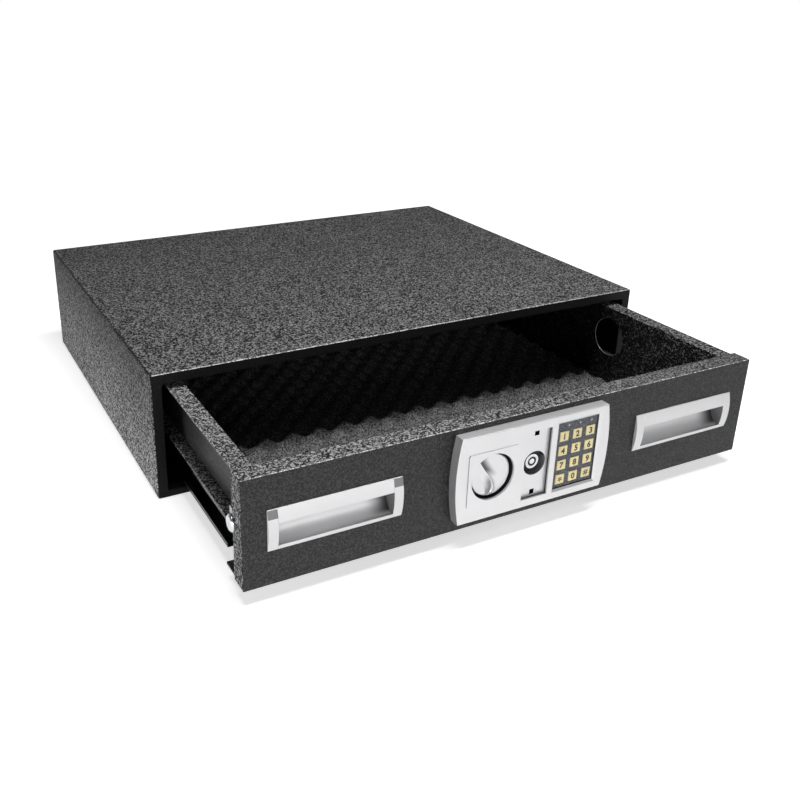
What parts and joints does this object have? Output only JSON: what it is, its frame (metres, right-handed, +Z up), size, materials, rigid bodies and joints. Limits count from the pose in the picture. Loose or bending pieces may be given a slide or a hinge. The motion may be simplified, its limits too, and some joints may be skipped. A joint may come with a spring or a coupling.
{
  "type": "under-bed safe",
  "caption": "Shallow steel under-bed safe with a foam-lined drawer on ball-bearing slides, a lock plate with knob, key cylinder and keypad, and recessed handles",
  "frame": {"origin": "centre of the case's underside, midway between the four anchor holes", "axes": "+X to the right seen from the front, +Y towards the back, +Z up; the drawer opens along -Y"},
  "size_m": [0.65, 0.7228, 0.147],
  "materials": {
    "case_coat": "hammertone powder coat, charcoal black",
    "panel_coat": "fine-textured powder coat, charcoal black",
    "tray_coat": "hammertone powder coat, charcoal black",
    "zinc_steel": "zinc plated",
    "slide_steel": "black zinc plated",
    "ball_steel": "polished balls in a zinc plated cage",
    "bolt_chrome": "polished chrome plate",
    "lock_silver": "satin silver paint",
    "handle_silver": "satin anodised",
    "pad_slate": "satin",
    "key_cream": "satin",
    "board_green": "solder mask",
    "foam_black": "open-cell egg-crate foam",
    "cell_wrap": "printed sleeve",
    "button_red": "satin",
    "coil_dark": "satin"
  },
  "bodies": {
    "case": {"case_wrapper": "case_coat", "case_back": "case_coat", "front_frame": "case_coat", "case_rail_left": "zinc_steel", "case_rail_right": "zinc_steel", "slide_case_left": "slide_steel", "slide_case_right": "slide_steel", "case_screws": "zinc_steel"},
    "drawer": {"front_panel": "panel_coat", "drawer_floor": "tray_coat", "drawer_side_left": "tray_coat", "drawer_side_right": "tray_coat", "drawer_back": "tray_coat", "mechanism_cover": "tray_coat", "foam_liner": "foam_black", "slide_bracket_left": "tray_coat", "slide_bracket_right": "tray_coat", "slide_drawer_left": "slide_steel", "slide_drawer_right": "slide_steel", "drawer_screws": "zinc_steel", "handle_left": "handle_silver", "handle_right": "handle_silver", "handle_caps": "lock_silver", "lock_bezel": "lock_silver", "keypad_plate": "pad_slate", "circuit_board": "board_green", "key_cylinder": "zinc_steel", "spindle_bush": "zinc_steel", "bolt_guides": "zinc_steel", "solenoid": "coil_dark", "battery_box": "pad_slate", "batteries": "cell_wrap", "battery_cover": "tray_coat"},
    "knob": {"knob": "lock_silver", "cam_shaft": "zinc_steel"},
    "bolt_left": {"bolt_left": "bolt_chrome", "bolt_bar_left": "zinc_steel"},
    "bolt_right": {"bolt_right": "bolt_chrome", "bolt_bar_right": "zinc_steel"},
    "plunger": {"plunger": "zinc_steel"},
    "key_plug": {"key_plug": "zinc_steel"},
    "reset_button": {"reset_button": "button_red"},
    "slide_middle_left": {"slide_middle_left": "slide_steel"},
    "cage_outer_left": {"cage_outer_left": "ball_steel"},
    "cage_inner_left": {"cage_inner_left": "ball_steel"},
    "slide_middle_right": {"slide_middle_right": "slide_steel"},
    "cage_outer_right": {"cage_outer_right": "ball_steel"},
    "cage_inner_right": {"cage_inner_right": "ball_steel"},
    "key_1": {"key_1": "key_cream"},
    "key_2": {"key_2": "key_cream"},
    "key_3": {"key_3": "key_cream"},
    "key_4": {"key_4": "key_cream"},
    "key_5": {"key_5": "key_cream"},
    "key_6": {"key_6": "key_cream"},
    "key_7": {"key_7": "key_cream"},
    "key_8": {"key_8": "key_cream"},
    "key_9": {"key_9": "key_cream"},
    "key_star": {"key_star": "key_cream"},
    "key_0": {"key_0": "key_cream"},
    "key_hash": {"key_hash": "key_cream"}
  },
  "joints": [
    {"name": "drawer_slide", "type": "slide", "parent": "case", "child": "drawer", "axis": [0, -1, 0], "range_m": [-0.21, 0.19]},
    {"name": "slide_middle_left_slide", "type": "slide", "parent": "case", "child": "slide_middle_left", "axis": [0, -1, 0], "range_m": [-0.105, 0.095]},
    {"name": "cage_outer_left_slide", "type": "slide", "parent": "case", "child": "cage_outer_left", "axis": [0, -1, 0], "range_m": [-0.1575, 0.1425]},
    {"name": "cage_inner_left_slide", "type": "slide", "parent": "case", "child": "cage_inner_left", "axis": [0, -1, 0], "range_m": [-0.0525, 0.0475]},
    {"name": "slide_middle_right_slide", "type": "slide", "parent": "case", "child": "slide_middle_right", "axis": [0, -1, 0], "range_m": [-0.105, 0.095]},
    {"name": "cage_outer_right_slide", "type": "slide", "parent": "case", "child": "cage_outer_right", "axis": [0, -1, 0], "range_m": [-0.1575, 0.1425]},
    {"name": "cage_inner_right_slide", "type": "slide", "parent": "case", "child": "cage_inner_right", "axis": [0, -1, 0], "range_m": [-0.0525, 0.0475]},
    {"name": "bolt_right_slide", "type": "slide", "parent": "drawer", "child": "bolt_right", "axis": [1, 0, 0], "range_m": [0, 0.009]},
    {"name": "bolt_left_slide", "type": "slide", "parent": "drawer", "child": "bolt_left", "axis": [-1, 0, 0], "range_m": [0, 0.009]},
    {"name": "knob_turn", "type": "hinge", "parent": "drawer", "child": "knob", "pos_m": [-0.0488, -0.46, 0.0758], "axis": [0, -1, 0], "range_deg": [0, 70]},
    {"name": "plunger_slide", "type": "slide", "parent": "drawer", "child": "plunger", "axis": [0, 0, -1], "range_m": [0, 0.003], "stiffness_N_per_m": 100, "springref_m": -0.003},
    {"name": "key_turn", "type": "hinge", "parent": "drawer", "child": "key_plug", "pos_m": [0.0052, -0.46, 0.0758], "axis": [0, 1, 0], "range_deg": [0, 90]},
    {"name": "reset_button_press", "type": "slide", "parent": "drawer", "child": "reset_button", "axis": [0, -1, 0], "range_m": [0, 0.0015], "stiffness_N_per_m": 300, "springref_m": -0.001},
    {"name": "key_1_press", "type": "slide", "parent": "drawer", "child": "key_1", "axis": [0, 1, 0], "range_m": [0, 0.001], "stiffness_N_per_m": 400, "springref_m": -0.0005},
    {"name": "key_2_press", "type": "slide", "parent": "drawer", "child": "key_2", "axis": [0, 1, 0], "range_m": [0, 0.001], "stiffness_N_per_m": 400, "springref_m": -0.0005},
    {"name": "key_3_press", "type": "slide", "parent": "drawer", "child": "key_3", "axis": [0, 1, 0], "range_m": [0, 0.001], "stiffness_N_per_m": 400, "springref_m": -0.0005},
    {"name": "key_4_press", "type": "slide", "parent": "drawer", "child": "key_4", "axis": [0, 1, 0], "range_m": [0, 0.001], "stiffness_N_per_m": 400, "springref_m": -0.0005},
    {"name": "key_5_press", "type": "slide", "parent": "drawer", "child": "key_5", "axis": [0, 1, 0], "range_m": [0, 0.001], "stiffness_N_per_m": 400, "springref_m": -0.0005},
    {"name": "key_6_press", "type": "slide", "parent": "drawer", "child": "key_6", "axis": [0, 1, 0], "range_m": [0, 0.001], "stiffness_N_per_m": 400, "springref_m": -0.0005},
    {"name": "key_7_press", "type": "slide", "parent": "drawer", "child": "key_7", "axis": [0, 1, 0], "range_m": [0, 0.001], "stiffness_N_per_m": 400, "springref_m": -0.0005},
    {"name": "key_8_press", "type": "slide", "parent": "drawer", "child": "key_8", "axis": [0, 1, 0], "range_m": [0, 0.001], "stiffness_N_per_m": 400, "springref_m": -0.0005},
    {"name": "key_9_press", "type": "slide", "parent": "drawer", "child": "key_9", "axis": [0, 1, 0], "range_m": [0, 0.001], "stiffness_N_per_m": 400, "springref_m": -0.0005},
    {"name": "key_star_press", "type": "slide", "parent": "drawer", "child": "key_star", "axis": [0, 1, 0], "range_m": [0, 0.001], "stiffness_N_per_m": 400, "springref_m": -0.0005},
    {"name": "key_0_press", "type": "slide", "parent": "drawer", "child": "key_0", "axis": [0, 1, 0], "range_m": [0, 0.001], "stiffness_N_per_m": 400, "springref_m": -0.0005},
    {"name": "key_hash_press", "type": "slide", "parent": "drawer", "child": "key_hash", "axis": [0, 1, 0], "range_m": [0, 0.001], "stiffness_N_per_m": 400, "springref_m": -0.0005}
  ],
  "couplings": [
    {"joint": "slide_middle_left_slide", "follows": "drawer_slide", "ratio": 0.5},
    {"joint": "cage_outer_left_slide", "follows": "drawer_slide", "ratio": 0.75},
    {"joint": "cage_inner_left_slide", "follows": "drawer_slide", "ratio": 0.25},
    {"joint": "slide_middle_right_slide", "follows": "drawer_slide", "ratio": 0.5},
    {"joint": "cage_outer_right_slide", "follows": "drawer_slide", "ratio": 0.75},
    {"joint": "cage_inner_right_slide", "follows": "drawer_slide", "ratio": 0.25},
    {"joint": "bolt_left_slide", "follows": "bolt_right_slide", "ratio": 1},
    {"joint": "knob_turn", "follows": "bolt_right_slide", "rad_per_m": 135.75},
    {"joint": "key_turn", "follows": "plunger_slide", "rad_per_m": 523.6}
  ]
}
